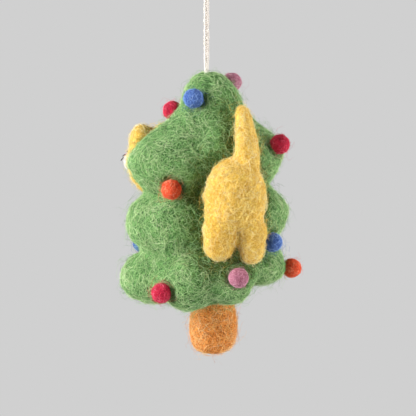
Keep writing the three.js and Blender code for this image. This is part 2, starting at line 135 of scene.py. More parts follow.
def points_of(mesh):
    flat = np.empty(3 * len(mesh.vertices))
    mesh.vertices.foreach_get("co", flat)
    return flat.reshape(-1, 3)


def normals_of(mesh):
    flat = np.empty(3 * len(mesh.vertices))
    mesh.vertex_normals.foreach_get("vector", flat)
    return flat.reshape(-1, 3)


def push(mesh, distance):
    """Moves a mesh's skin outwards by a distance, one for all points or one for each."""
    moved = points_of(mesh) + normals_of(mesh) * np.reshape(distance, (-1, 1))
    mesh.vertices.foreach_set("co", np.asarray(moved, np.float32).ravel())
    mesh.update()


def smooth_shaded(mesh, material):
    mesh.materials.clear()
    mesh.materials.append(material)
    mesh.polygons.foreach_set("use_smooth", [True] * len(mesh.polygons))
    return mesh


def mark(mesh, shown):
    """Marks the faces on which strands may grow."""
    attribute = mesh.attributes.new("shown", "BOOLEAN", "FACE")
    attribute.data.foreach_set("value", shown)


class Nodes:
    """A node tree that is put together one node at a time."""

    def __init__(self, tree):
        self.tree = tree

    def node(self, kind, inputs=None, **settings):
        """A new node, with its inputs by name or number."""
        made = self.tree.nodes.new(kind)
        for key, value in settings.items():
            setattr(made, key, value)
        for key, value in (inputs or {}).items():
            self.feed(made.inputs[key], value)
        return made

    def feed(self, socket, value):
        """Links another node's output to a socket, or gives it a plain value."""
        if isinstance(value, bpy.types.NodeSocket):
            self.tree.links.new(value, socket)
        else:
            socket.default_value = value

    def add(self, kind, inputs=None, out=0, **settings):
        """A new node's output."""
        return self.node(kind, inputs, **settings).outputs[out]

    def math(self, operation, first, second=0.0, clamp=False):
        return self.add("ShaderNodeMath", {0: first, 1: second}, operation=operation, use_clamp=clamp)

    def vector(self, x=0.0, y=0.0, z=0.0):
        return self.add("ShaderNodeCombineXYZ", {"X": x, "Y": y, "Z": z})

    def scaled(self, vector, factor):
        return self.add("ShaderNodeVectorMath", {0: vector, "Scale": factor}, operation="SCALE")

    def plus(self, first, second):
        return self.add("ShaderNodeVectorMath", {0: first, 1: second}, operation="ADD")

    def centred(self, noise_colour):
        """A noise's colour as a vector that points to all sides."""
        return self.plus(noise_colour, (-0.5, -0.5, -0.5))

    def between(self, factor, first, second):
        """A number that goes from the first to the second as the factor goes from 0 to 1."""
        return self.add("ShaderNodeMix", {"Factor": factor, 2: first, 3: second})


class Group(Nodes):
    """A node group with named inputs and outputs."""

    def __init__(self, name, kind, inputs, outputs):
        super().__init__(bpy.data.node_groups.new(name, kind))
        for way, sockets in (("INPUT", inputs), ("OUTPUT", outputs)):
            for label, socket in sockets.items():
                self.tree.interface.new_socket(label, in_out=way, socket_type="NodeSocket" + socket)
        self.given = self.node("NodeGroupInput").outputs
        self.result = self.node("NodeGroupOutput").inputs

    def store(self, shape, name, value, domain="POINT", data_type="FLOAT"):
        return self.add(
            "GeometryNodeStoreNamedAttribute", {"Geometry": shape, "Name": name, "Value": value},
            domain=domain, data_type=data_type,
        )

    def stored(self, name, data_type="FLOAT"):
        return self.add("GeometryNodeInputNamedAttribute", {"Name": name}, data_type=data_type)

    def made_of(self, mesh, material):
        """A smooth mesh of one material, with nothing left instanced."""
        mesh = self.add("GeometryNodeSetShadeSmooth", {"Geometry": mesh, "Shade Smooth": True})
        mesh = self.add("GeometryNodeRealizeInstances", {"Geometry": mesh})
        return self.add("GeometryNodeSetMaterial", {"Geometry": mesh, "Material": material})

    def finish(self, **outputs):
        for label, value in outputs.items():
            self.feed(self.result[label], value)
        return self.tree


class Paint(Nodes):
    """The node tree of a material, with its Principled BSDF and the plain values of its sockets."""

    def __init__(self, name, **plain):
        self.material = bpy.data.materials.new(name)
        self.material.use_nodes = True
        super().__init__(self.material.node_tree)
        self.shader = self.tree.nodes["Principled BSDF"].inputs
        self.finish(**plain)

    def object_place(self):
        return self.add("ShaderNodeTexCoord", out="Object")

    def along_uv(self):
        """The two coordinates of the piece's own UV map."""
        place = self.add("ShaderNodeUVMap", uv_map=UV_NAME)
        return self.node("ShaderNodeSeparateXYZ", {0: place}).outputs[:2]

    def noise(self, size, detail=2.0):
        """Noise with swellings of a size in metres, fixed to the piece."""
        return self.add(
            "ShaderNodeTexNoise", {"Vector": self.object_place(), "Scale": 1 / size, "Detail": detail}
        )

    def ramp(self, factor, stops):
        """Colours blended over a factor from 0 to 1: stops are (place, colour code)."""
        made = self.node("ShaderNodeValToRGB", {"Fac": factor})
        elements = made.color_ramp.elements
        while len(elements) < len(stops):
            elements.new(1)
        for element, (place, code) in zip(elements, stops):
            element.position = place
            element.color = colour(code)
        return made.outputs["Color"]

    def bump(self, height, distance, strength=0.7):
        return self.add("ShaderNodeBump", {"Height": height, "Strength": strength, "Distance": distance})

    def finish(self, **inputs):
        for label, value in inputs.items():
            self.feed(self.shader[label.replace("_", " ")], value)
        return self.material


WHITE = "ffffff"


def colour(code):
    """A colour from its sRGB code, as linear red, green, blue and alpha."""
    parts = [int(code[i:i + 2], 16) / 255 for i in (0, 2, 4)]
    return [p / 12.92 if p < 0.04045 else ((p + 0.055) / 1.055) ** 2.4 for p in parts] + [1]


# Hanging loop: one cotton cord of three plies, doubled, that ends in the top of the tree
LOOP_BODY = "hanging_loop"
TREE_BODY = "tree"
COTTON_SLOT = "cotton_cord"
# Loose cotton stands out past the cord's measured diameter
COTTON_DIAMETER = 1.26 * MM
CORD_PLIES = 3
PLY_DEPTH = 0.13
CORD_LAY = 2.6 * MM
CORD_SIDES = 21
CORD_STEP = 0.2 * MM
# Spun cotton is uneven: it swells from slub to slub, and sways more slowly
SLUB_LENGTH = 1.1 * MM
SLUB_SWELL = 0.9
CORD_SWAY = 0.4 * MM
SWAYS_PER_SLUB = 0.4
# Cotton is pale on its plies and darker and warmer in the grooves between them, which is painted shade,
# with fine fibres all over
COTTON_TONES = [(0.15, "d9ccbf"), (0.45, "e6ddd4"), (0.75, "ebe6df")]
COTTON_FUZZ_TONES = ("d4c7ba", "dbd0c5", "e2d9d0", "e8e0d8", "ede7e1")
GROOVE_SHADE_WEIGHT = 0.3
FIBRE_SIZE = 0.22 * MM
FIBRE_BUMP = 0.05 * MM
# Half of the loop's route: how far out from its middle and how high each point is, in millimetres
LOOP_PLANE_AZIMUTH = 210
LOOP_HALF = [
    (0.3, -46), (0.4, -43.5), (0.45, -39), (0.45, -33), (0.45, -27), (0.45, -21), (0.5, -16.5),
    (0.76, -13.5), (1.42, -10.4), (2.25, -7.6), (2.85, -5), (3, -2.7), (2.2, -0.5),
]
LOOP_ARCH_TOP = (0, 0.4)
CORD_TAIL = 2.2
ROUTE_STEPS = 6
KNOT_POINTS = 72
# Where the cord goes into the wool, and how far down its loose fibres go
EXIT_POINT = Vector((0, 0, -46.6)) * MM
FUZZ_LOWEST = -39 * MM


def twisted_cord_tree():
    """A cord along a path: its plies are lobes of its section, which turns once in each lay, and it
    sways, swells and thins a little along its length as spun cotton does."""
    g = Group(
        "Twisted cord", "GeometryNodeTree",
        {
            "Path": "Geometry", "Diameter": "Float", "Plies": "Float", "Ply depth": "Float",
            "Lay": "Float", "Step": "Float", "Slub length": "Float", "Slub swell": "Float",
            "Sway": "Float", "Cotton": "Material",
        },
        {"Cord": "Geometry"},
    )
    given = g.given
    path = g.add("GeometryNodeMeshToCurve", {"Mesh": given["Path"]})
    path = g.add("GeometryNodeResampleCurve", {"Curve": path, "Length": given["Step"]}, mode="LENGTH")
    spline = g.node("GeometryNodeSplineParameter").outputs
    turns = g.math("DIVIDE", spline["Length"], given["Lay"])
    tilt = g.math("MULTIPLY", turns, math.tau)
    path = g.add("GeometryNodeSetCurveTilt", {"Curve": path, "Tilt": tilt})
    path = g.store(path, "along", spline["Factor"])
    slubs = g.math("DIVIDE", spline["Length"], given["Slub length"])
    slub = g.add("ShaderNodeTexNoise", {"W": slubs, "Scale": 1.0}, noise_dimensions="1D")
    swell = g.math("MULTIPLY", g.math("SUBTRACT", slub, 0.5), given["Slub swell"])
    path = g.store(path, "thickness", g.math("MULTIPLY", given["Diameter"], g.math("ADD", 1.0, swell)))
    sway = g.add(
        "ShaderNodeTexNoise", {"W": slubs, "Scale": SWAYS_PER_SLUB}, out="Color", noise_dimensions="1D"
    )
    sway = g.scaled(g.centred(sway), given["Sway"])
    path = g.add("GeometryNodeSetPosition", {"Geometry": path, "Offset": sway})
    ring = g.add("GeometryNodeCurvePrimitiveCircle", {"Resolution": CORD_SIDES, "Radius": 0.5})
    ring = g.store(ring, "round", spline["Factor"])
    swing = g.math("MULTIPLY", g.math("MULTIPLY", g.stored("round"), math.tau), given["Plies"])
    dip = g.math("MULTIPLY", g.math("SUBTRACT", g.math("COSINE", swing), 1.0), 0.5)
    shrink = g.math("ADD", 1.0, g.math("MULTIPLY", dip, given["Ply depth"]))
    spot = g.add("GeometryNodeInputPosition")
    ring = g.add("GeometryNodeSetPosition", {"Geometry": ring, "Position": g.scaled(spot, shrink)})
    cord = g.add(
        "GeometryNodeCurveToMesh",
        {"Curve": path, "Profile Curve": ring, "Fill Caps": True, "Scale": g.stored("thickness")},
    )
    cord = g.store(cord, UV_NAME, g.vector(g.stored("round"), g.stored("along")), "CORNER", "FLOAT2")
    for name in ("along", "round", "thickness"):
        cord = g.add("GeometryNodeRemoveAttribute", {"Geometry": cord, "Name": name})
    return g.finish(Cord=g.made_of(cord, given["Cotton"]))


def cotton_cord():
    """Natural white cotton, painted darker and warmer in the grooves between the plies as painted shade,
    and warmer along its fine fibres.
    """
    p = Paint("Cotton cord", Roughness=0.92, Specular_IOR_Level=0.1)
    round_it, _ = p.along_uv()
    lobe = p.math("COSINE", p.math("MULTIPLY", round_it, CORD_PLIES * math.tau))
    fibres = p.noise(FIBRE_SIZE)
    # The grooves between plies are painted darker, as painted shade
    tone = p.math("ADD", p.math("MULTIPLY", lobe, GROOVE_SHADE_WEIGHT), fibres)
    return p.finish(Base_Color=p.ramp(tone, COTTON_TONES), Normal=p.bump(fibres, FIBRE_BUMP))


def smooth_route(points, steps):
    """Points of the smooth curve through a route's points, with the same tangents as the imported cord."""
    ends = [2 * points[0] - points[1], *points, 2 * points[-1] - points[-2]]
    route = [points[0]]
    for a, b, c, d in zip(ends, ends[1:], ends[2:], ends[3:]):
        ab, bc, cd = (math.sqrt((q - p).length) for p, q in ((a, b), (b, c), (c, d)))
        leave = ((b - a) / ab - (c - a) / (ab + bc) + (c - b) / bc) * bc / 3
        arrive = ((c - b) / bc - (d - b) / (bc + cd) + (d - c) / cd) * bc / 3
        route += geometry.interpolate_bezier(b, b + leave, c - arrive, c, steps + 1)[1:]
    return route


def path_mesh(points, closed=False):
    """Edges from point to point, and back to the first one on a closed path."""
    mesh = bpy.data.meshes.new("path")
    edges = [(i, i + 1) for i in range(len(points) - 1)]
    mesh.from_pydata(points, edges + [(len(points) - 1, 0)] * closed, [])
    return mesh


def cord_mesh(points, closed=False):
    """A cotton cord along points."""
    given = {
        "Diameter": COTTON_DIAMETER, "Plies": float(CORD_PLIES), "Ply depth": PLY_DEPTH,
        "Lay": CORD_LAY, "Step": CORD_STEP, "Slub length": SLUB_LENGTH, "Slub swell": SLUB_SWELL,
        "Sway": CORD_SWAY, "Cotton": COTTON,
    }
    return grown_by(CORD_TREE, path_mesh(points, closed), given)


def make_loop():
    """The loop from its end in the wool up over the arch and down again."""
    side = towards(LOOP_PLANE_AZIMUTH)
    half = [(LOOP_HALF[0][0], LOOP_HALF[0][1] - CORD_TAIL), *LOOP_HALF]
    route = [*half, LOOP_ARCH_TOP, *((-out, up) for out, up in reversed(half))]
    points = [side * (out * MM) + Vector((0, 0, up * MM)) for out, up in route]
    points = smooth_route(points, ROUTE_STEPS)
    loop = linked("cotton_loop", cord_mesh(points))
    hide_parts("hanging_loop")
    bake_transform(loop)
    return loop.data


def make_knot():
    """The overhand knot that holds the loop in the wool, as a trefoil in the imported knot's box."""
    low, high = (Vector(corner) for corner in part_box("loop_knot"))
    middle = (low + high) / 2
    size = (high - low) / 2 - Vector([COTTON_DIAMETER] * 3)
    points = []
    for i in range(KNOT_POINTS):
        t = math.tau * i / KNOT_POINTS
        x = (math.sin(t) + 2 * math.sin(2 * t)) / 3
        y = (math.cos(t) - 2 * math.cos(2 * t)) / 3
        points.append(middle + Vector((x * size.x, y * size.y, -math.sin(3 * t) * size.z)))
    knot = linked("cotton_knot", cord_mesh(points, closed=True))
    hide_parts("loop_knot")
    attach(knot, TREE_BODY)


CORD_TREE = twisted_cord_tree()
COTTON = cotton_cord()
loop_mesh = make_loop()
make_knot()


# Wool: loose strands over a felted ground, which is a tangle of finer ones

# Layers of the tangle: how widely its strands are spread, and how light they are
TANGLE_LAYERS = [(1, 0.5), (1.5, 0.65), (0.8, 0.8), (1.2, 1)]
LAYER_SHIFT = (0.037, 0.071, 0.113)
LINE_SHARPNESS = 13.0
PATCHES_PER_STRAND = 0.14
# The ground's colour over its strands and patches, deepest in the gaps between its strands, which is
# partly the wool's own mixed tones and partly painted shade in the pits, and its relief
LINES_WEIGHT = 0.75
PATCHES_WEIGHT = 0.3
GROUND_PLACES = (0.31, 0.57, 0.9)
GROUND_BUMP = 0.2 * MM
# How far the cat's wool is worked into the wool beside it, as an attribute of a skin, how much it tints
# and darkens the ground there (partly the cat's wool, partly painted shade in the crease by the cat), the
# share of strands that come from it, and how much darker the strands there are painted, as painted shade
CAT_WOOL_AND_SHADE = "cat_wool_and_shade"
TINT_AND_SHADE_SHARE = 0.9
OTHER_SHARE = 0.5
PAINTED_SHADE_NEAR_CAT = 0.32
# Where the tones of a wool, and of the other one worked into it, lie across the UV map of strands
STRAND_PLACES = (0.0, 0.3, 0.55, 0.8, 1.0)
TONE_WIDTH = 0.46
OTHER_TONES = 0.54
# Strands: the tones of plain ones, how often tones drift in a metre, how many ways there are to wander,
# the least and most of their length and lift that strands take, how fast they wander and bend up, and how
# their ends thin out and are painted darker, which is painted shade where they tuck into the felt
PLAIN_TONES = (0.1, 0.9)
TONE_DRIFT = 160.0
WANDER_KINDS = 900.0
LENGTH_SHARES = (0.55, 1.4)
LIFT_SHARES = (0.15, 1.0)
WANDER_WAVES = 2.6
FREE_END_CURVE = 1.4
TIP_CURVE = 4.0
TIP_THINNING = 0.8
TIP_PAINTED_SHADE = 0.08
WOOL_FINISH = {
    "Roughness": 0.9, "Specular_IOR_Level": 0.15, "Sheen_Weight": 0.08, "Sheen_Roughness": 0.6,
}


def felt_tangle():
    """Masks of needled wool: Strands is high along curly lines that cross each other in many layers, and
    Patches drifts from place to place."""
    g = Group(
        "Felt tangle", "ShaderNodeTree",
        {"Vector": "Vector", "Strand size": "Float"}, {"Strands": "Float", "Patches": "Float"},
    )
    scale = g.math("DIVIDE", 1.0, g.given["Strand size"])
    strands = None
    for layer, (spread, level) in enumerate(TANGLE_LAYERS):
        place = g.plus(g.given["Vector"], [shift * layer for shift in LAYER_SHIFT])
        spacing = g.math("DIVIDE", scale, spread)
        value = g.add(
            "ShaderNodeTexNoise",
            {"Vector": place, "Scale": spacing, "Detail": 1.5, "Distortion": 1.6},
        )
        off = g.math("ABSOLUTE", g.math("SUBTRACT", value, 0.5))
        line = g.math("SUBTRACT", 1.0, g.math("MULTIPLY", off, LINE_SHARPNESS), clamp=True)
        line = g.math("MULTIPLY", line, level)
        strands = line if strands is None else g.math("MAXIMUM", strands, line)
    spacing = g.math("MULTIPLY", scale, PATCHES_PER_STRAND)
    patches = g.add(
        "ShaderNodeTexNoise", {"Vector": g.given["Vector"], "Scale": spacing, "Detail": 2.0}
    )
    return g.finish(Strands=strands, Patches=patches)


TANGLE = felt_tangle()


def wool_ground(name, shades, strand_size, tint_and_shade):
    """The felted ground under the loose strands, tinted and darkened beside the cat: partly the cat's wool
    needled into it, partly painted shade in the crease there.
    """
    p = Paint(name, **WOOL_FINISH)
    tangle = p.node("ShaderNodeGroup", node_tree=TANGLE)
    p.feed(tangle.inputs["Vector"], p.object_place())
    p.feed(tangle.inputs["Strand size"], strand_size)
    lines, patches = tangle.outputs
    drift = p.math("MULTIPLY", patches, PATCHES_WEIGHT)
    tone = p.math("ADD", p.math("MULTIPLY", lines, LINES_WEIGHT), drift)
    shade = p.ramp(tone, [*zip(GROUND_PLACES, shades)])
    # Beside the cat the ground is tinted towards the cat's wool and darkened: partly the cat's wool,
    # partly painted shade in the crease
    cat_wool_and_shade = p.add("ShaderNodeAttribute", out="Fac", attribute_name=CAT_WOOL_AND_SHADE)
    share = p.math("MULTIPLY", cat_wool_and_shade, TINT_AND_SHADE_SHARE)
    shade = p.add(
        "ShaderNodeMix", {0: share, 6: shade, 7: colour(tint_and_shade)}, out=2,
        data_type="RGBA", blend_type="MULTIPLY",
    )
    return p.finish(Base_Color=shade, Normal=p.bump(lines, GROUND_BUMP))


def wool_strands(name, own, other):
    """Loose strands: tones of the wool itself on one half of the UV map, and on the other half tones of
    the wool that is needled into it."""
    p = Paint(name, **WOOL_FINISH)
    tone, _ = p.along_uv()
    stops = [(start + TONE_WIDTH * place, code)
             for start, codes in ((0, own), (OTHER_TONES, other))
             for place, code in zip(STRAND_PLACES, codes)]
    return p.finish(Base_Color=p.ramp(tone, stops))


def strand_tree(points):
    """Strands of wool scattered over the shown faces of a skin. Each wanders along the skin and arches
    off it by its lift, the light ones most; with a free end of 1 it stands up from the skin instead."""
    g = Group(
        f"Wool strands of {points} points", "GeometryNodeTree",
        {
            "Skin": "Geometry", "Density": "Float", "Length": "Float", "Thickness": "Float",
            "Curl": "Float", "Lift": "Float", "Free end": "Float", "Darkest": "Float",
            "Lightest": "Float", "Seed": "Int", "Wool": "Material",
        },
        {"Strands": "Geometry"},
    )
    given = g.given

    def chance(draw, low, high):
        """A random number for each strand."""
        seed = g.math("ADD", given["Seed"], draw)
        values = {2: low, 3: high, "Seed": seed}
        return g.add("FunctionNodeRandomValue", values, out=1, data_type="FLOAT")

    scatter = g.node(
        "GeometryNodeDistributePointsOnFaces",
        {
            "Mesh": given["Skin"], "Selection": g.stored("shown", "BOOLEAN"),
            "Density": given["Density"], "Seed": given["Seed"],
        },
    )
    drift = g.math("SUBTRACT", g.add("ShaderNodeTexNoise", {"Scale": TONE_DRIFT, "Detail": 2.0}), 0.5)
    # Strands beside the cat are painted darker: painted shade in the crease by the cat
    drift = g.math("SUBTRACT", drift, g.math("MULTIPLY", g.stored(CAT_WOOL_AND_SHADE), PAINTED_SHADE_NEAR_CAT))
    tone = g.math("ADD", chance(1, given["Darkest"], given["Lightest"]), drift, clamp=True)
    roots = g.store(scatter.outputs["Points"], "tone", tone)
    share = g.math("MULTIPLY", g.stored(CAT_WOOL_AND_SHADE), OTHER_SHARE)
    roots = g.store(roots, "other", g.math("LESS_THAN", chance(6, 0.0, 1.0), share))
    roots = g.store(roots, "strand", chance(2, 0.0, WANDER_KINDS))
    light = g.between(given["Free end"], g.stored("tone"), 1.0)
    roots = g.store(roots, "rise", g.math("MULTIPLY", chance(3, *LIFT_SHARES), light))
    turn = g.add("FunctionNodeEulerToRotation", {"Euler": g.vector(z=chance(4, 0.0, math.tau))})
    lie = g.add(
        "FunctionNodeRotateRotation", {"Rotation": scatter.outputs["Rotation"], "Rotate By": turn},
        rotation_space="LOCAL",
    )
    line = g.add("GeometryNodeCurvePrimitiveLine", {"Start": (-0.5, 0, 0), "End": (0.5, 0, 0)})
    line = g.add("GeometryNodeResampleCurve", {"Curve": line, "Count": points})
    length = g.math("MULTIPLY", given["Length"], chance(5, *LENGTH_SHARES))
    strands = g.add(
        "GeometryNodeInstanceOnPoints",
        {"Points": roots, "Instance": line, "Rotation": lie, "Scale": g.vector(length, length, length)},
    )
    strands = g.add("GeometryNodeRealizeInstances", {"Geometry": strands})
    strands = g.store(strands, "along", g.add("GeometryNodeSplineParameter"))
    along = g.stored("along")
    waves = g.vector(g.math("MULTIPLY", along, WANDER_WAVES))
    wander = g.add(
        "ShaderNodeTexNoise", {"Vector": waves, "W": g.stored("strand"), "Scale": 1.0},
        out="Color", noise_dimensions="4D",
    )
    wander = g.scaled(g.centred(wander), g.math("MULTIPLY", given["Curl"], 2.0))
    strands = g.add("GeometryNodeSetPosition", {"Geometry": strands, "Offset": wander})
    spot = g.add("GeometryNodeInputPosition")
    foot = g.add(
        "GeometryNodeProximity", {"Geometry": given["Skin"], "Sample Position": spot},
        target_element="FACES",
    )
    outward = g.add(
        "GeometryNodeSampleNearestSurface",
        {"Mesh": given["Skin"], "Value": g.add("GeometryNodeInputNormal"), "Sample Position": spot},
        data_type="FLOAT_VECTOR",
    )
    arch = g.math("SINE", g.math("MULTIPLY", along, math.pi))
    profile = g.between(given["Free end"], arch, g.math("POWER", along, FREE_END_CURVE))
    height = g.math("MULTIPLY", g.math("MULTIPLY", given["Lift"], g.stored("rise")), profile)
    loose = g.scaled(wander, g.math("MULTIPLY", given["Free end"], along))
    place = g.plus(foot, g.plus(g.scaled(outward, height), loose))
    strands = g.add("GeometryNodeSetPosition", {"Geometry": strands, "Position": place})
    across = g.math("SUBTRACT", g.math("MULTIPLY", along, 2.0), 1.0)
    thinning = g.math("MULTIPLY", g.math("POWER", across, TIP_CURVE), TIP_THINNING)
    taper = g.math("SUBTRACT", 1.0, thinning)
    section = g.add("GeometryNodeCurvePrimitiveCircle", {"Resolution": 3, "Radius": 0.5})
    mesh = g.add(
        "GeometryNodeCurveToMesh",
        {
            "Curve": strands, "Profile Curve": section, "Fill Caps": True,
            "Scale": g.math("MULTIPLY", given["Thickness"], taper),
        },
    )
    # Both ends of a strand are painted darker, as painted shade where it tucks into the felt
    end = g.math("MULTIPLY", g.math("ABSOLUTE", across), TIP_PAINTED_SHADE)
    shade = g.math("MULTIPLY", g.math("SUBTRACT", g.stored("tone"), end, clamp=True), TONE_WIDTH)
    shade = g.math("ADD", shade, g.math("MULTIPLY", g.stored("other"), OTHER_TONES))
    mesh = g.store(mesh, UV_NAME, g.vector(shade, along), "CORNER", "FLOAT2")
    for name in ("tone", "other", "strand", "rise", "along", CAT_WOOL_AND_SHADE):
        mesh = g.add("GeometryNodeRemoveAttribute", {"Geometry": mesh, "Name": name})
    return g.finish(Strands=g.made_of(mesh, given["Wool"]))


STRAND_TREES = {points: strand_tree(points) for points in (4, 5, 6, 7, 8)}


def strands_on(
    name, mesh, body, material, slot, seed, points, density, tones=PLAIN_TONES, free_end=0.0, **sizes
):
    """Loose strands on a skin: density is per square millimetre, and the sizes are in millimetres."""
    given = {
        "Density": density * PER_SQUARE_MM, "Darkest": tones[0], "Lightest": tones[1], "Seed": seed,
        "Wool": material, "Free end": free_end,
    }
    given.update({label.capitalize(): size * MM for label, size in sizes.items()})
    made = linked(name, grown_by(STRAND_TREES[points], mesh, given))
    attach(made, body)


# Wools: ground colours from deep to light, whose deep end is partly painted shade in the pits between
# strands, and strand colours over their tones
LARGE_TANGLE = 1.2 * MM
SMALL_TANGLE = 0.8 * MM


def wool(name, ground, strands, strand_size, tint_and_shade=WHITE, other=None):
    return (
        wool_ground(f"{name} wool ground", ground, strand_size, tint_and_shade),
        wool_strands(f"{name} wool strands", strands, other or strands),
    )


WOOLS = {
    "green": wool(
        "Green", ("0c2a14", "52883e", "a4d286"),
        # The tint below tints and darkens the green beside the cat: partly the cat's wool, partly painted
        # shade
        ("30642f", "82b468", "aedb94", "cae6a4", "deeebc"), LARGE_TANGLE, "c6a466",
        ("33400f", "5c6420", "86803a", "a89a50", "ccc07c"),
    ),
    "yellow": wool(
        "Yellow", ("c88e26", "f4ca50", "ffee92"),
        ("d09828", "f6ce5a", "ffe486", "ffeea6", "fff5c8"), LARGE_TANGLE,
    ),
    "brown": wool(
        "Brown", ("783408", "e4862e", "ffbe6c"),
        ("9a4a0e", "f8a042", "ffc46c", "ffd28a", "ffe2ae"), LARGE_TANGLE,
    ),
    "white": wool(
        "White", ("cfc8bc", "e6e1d8", "f4f2ec"),
        ("d6cfc3", "e9e4db", "f5f2ec", "faf8f5", "ffffff"), SMALL_TANGLE,
    ),
    "pink": wool(
        "Pink", ("b8656c", "d38388", "e4a2a4"),
        ("b8656c", "d38388", "e4a2a4", "efbcbc", "f6d3d2"), SMALL_TANGLE,
    ),
    "undyed": wool(
        "Undyed", ("b3a78f", "d3c8b2", "e6dfcf"),
        ("b3a78f", "d3c8b2", "e6dfcf", "f0eadd", "f8f4ea"), LARGE_TANGLE,
    ),
    "blue": wool(
        "Blue", ("2c4888", "4a6cb4", "6e94da"),
        ("2c4a90", "5076be", "78a0e0", "98bcf0", "c0d8fc"), SMALL_TANGLE,
    ),
    "mauve": wool(
        "Mauve", ("8e4c5e", "c07c92", "d89cae"),
        ("8a4858", "c0768e", "d894a8", "e6aebe", "f2ced8"), SMALL_TANGLE,
    ),
    "crimson": wool(
        "Crimson", ("8e0826", "cc1a40", "e43a5c"),
        ("8e0826", "cc183e", "e63254", "f25474", "fb889e"), SMALL_TANGLE,
    ),
    "orange": wool(
        "Orange", ("b83614", "f05028", "ff7044"),
        ("c43812", "fc5628", "ff6c3e", "ff8a5e", "ffae8c"), SMALL_TANGLE,
    ),
}


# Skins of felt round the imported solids
MERGE_DISTANCE = 0.005 * MM
# A face is hidden where it lies deeper than this in another skin, found by counting the faces that a
# slanting line out of it goes through, each time from just past the last one
BURIED_DEPTH = 0.4 * MM
LOOK_OUT = Vector((0.37, 0.23, 0.9)).normalized()
PAST_FACE = 0.001 * MM


def merged_copy(names, meshes=()):
    """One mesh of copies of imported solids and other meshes, with their shared corners merged."""
    bm = bmesh.new()
    for mesh in [*(cad[name].data for name in names), *meshes]:
        bm.from_mesh(mesh)
    bmesh.ops.remove_doubles(bm, verts=bm.verts, dist=MERGE_DISTANCE)
    mesh = bpy.data.meshes.new("solid")
    bm.to_mesh(mesh)
    bm.free()
    return mesh


def wrapped(points):
    """A tight wrap round points."""
    bm = bmesh.new()
    for point in points:
        bm.verts.new(point)
    found = bmesh.ops.convex_hull(bm, input=bm.verts)
    spare = {v for key in ("geom_interior", "geom_unused") for v in found[key]}
    bmesh.ops.delete(bm, geom=[v for v in spare if isinstance(v, bmesh.types.BMVert)], context="VERTS")
    mesh = bpy.data.meshes.new("wrap")
    bm.to_mesh(mesh)
    bm.free()
    return mesh


def largest_body(mesh):
    """A mesh without its smaller loose bodies, such as walls of voids inside it."""
    bm = bmesh.new()
    bm.from_mesh(mesh)
    left = set(bm.verts)
    bodies = []
    while left:
        body = {left.pop()}
        edge = list(body)
        while edge:
            found = {e.other_vert(v) for v in edge for e in v.link_edges} - body
            body |= found
            edge = list(found)
        left -= body
        bodies.append(body)
    keep = max(bodies, key=len)
    bmesh.ops.delete(bm, geom=[v for v in bm.verts if v not in keep], context="VERTS")
    bm.to_mesh(mesh)
    bm.free()
    return mesh


def closed(mesh, voxel, swell=0.0, close=0.0):
    """A skin a little outside a mesh, with creases narrower than twice the closing width filled."""
    push(mesh, swell + close)
    mesh = modified(mesh, "REMESH", mode="VOXEL", voxel_size=voxel)
    if close:
        push(mesh, -close)
        mesh = modified(mesh, "REMESH", mode="VOXEL", voxel_size=voxel)
    return mesh


def needled(mesh, smooth, seed, waves):
    """A skin smoothed and then needled unevenly: waves are (wavelength, height) of soft swellings."""
    mesh = largest_body(modified(mesh, "SMOOTH", factor=0.5, iterations=smooth))
    shift = Vector((seed, 2 * seed, 3 * seed))
    push(mesh, [
        sum(height * noise.noise(v.co / length + shift) for length, height in waves)
        for v in mesh.vertices
    ])
    return mesh


def bvh(mesh):
    """A search tree of a mesh's faces."""
    return BVHTree.FromPolygons([v.co for v in mesh.vertices], [p.vertices for p in mesh.polygons])


def is_inside(point, tree, depth):
    """Whether a point lies inside a closed skin, deeper than a depth: a line out of it leaves the skin
    an odd number of times."""
    if tree.find_nearest(point)[3] < depth:
        return False
    crossings = 0
    place = point
    while place is not None:
        place = tree.ray_cast(place, LOOK_OUT)[0]
        if place is not None:
            crossings += 1
            place = place + LOOK_OUT * PAST_FACE
    return crossings % 2 == 1


def mark_shown(mesh, covers, outer=None):
    """Marks the faces that show: those outside the skins that cover them, and of a parted piece only
    the first outer ones."""
    outer = outer or len(mesh.polygons)
    mark(mesh, [
        i < outer and not any(is_inside(face.center, cover, BURIED_DEPTH) for cover in covers)
        for i, face in enumerate(mesh.polygons)
    ])


def parted(mesh, names, covers):
    """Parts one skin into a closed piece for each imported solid, at the faces nearest to that solid."""
    solids = [bvh(cad[name].data) for name in names]
    owner = [
        min(range(len(names)), key=lambda i: solids[i].find_nearest(face.center)[3])
        for face in mesh.polygons
    ]
    pieces = {}
    for index, name in enumerate(names):
        bm = bmesh.new()
        bm.from_mesh(mesh)
        bm.faces.ensure_lookup_table()
        others = [bm.faces[i] for i, mine in enumerate(owner) if mine != index]
        bmesh.ops.delete(bm, geom=others, context="FACES")
        rim = [e for e in bm.edges if e.is_boundary]
        outer = len(bm.faces)
        bmesh.ops.holes_fill(bm, edges=rim, sides=0)
        for edge in rim:
            edge.smooth = False
        piece = bpy.data.meshes.new(name)
        bm.to_mesh(piece)
        bm.free()
        mark_shown(piece, covers, outer)
        pieces[name] = piece
    return pieces


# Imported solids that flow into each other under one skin, and the balls
TIERS = ["bottom_tier", "middle_tier", "top_tier"]
LEGS = ["cat_hind_leg_left", "cat_hind_leg_right"]
HIND = ["cat_rump", *LEGS, "cat_tail"]
EARS = ["cat_ear_left", "cat_ear_right"]
FRONT = ["cat_head", *EARS]
BALLS = sorted(name for name in cad if name.startswith("ball_"))
# Uneven needling: the wavelength and height of soft swellings
LARGE_WAVES = [(10 * MM, 0.8 * MM), (4 * MM, 0.35 * MM)]
SMALL_WAVES = [(5 * MM, 0.3 * MM), (2 * MM, 0.12 * MM)]
BALL_WAVES = [(3 * MM, 0.15 * MM)]
# How fine the skins are
TREE_VOXEL = 0.8 * MM
CAT_VOXEL = 0.7 * MM
BALL_VOXEL = 0.42 * MM
FACE_VOXEL = 0.3 * MM
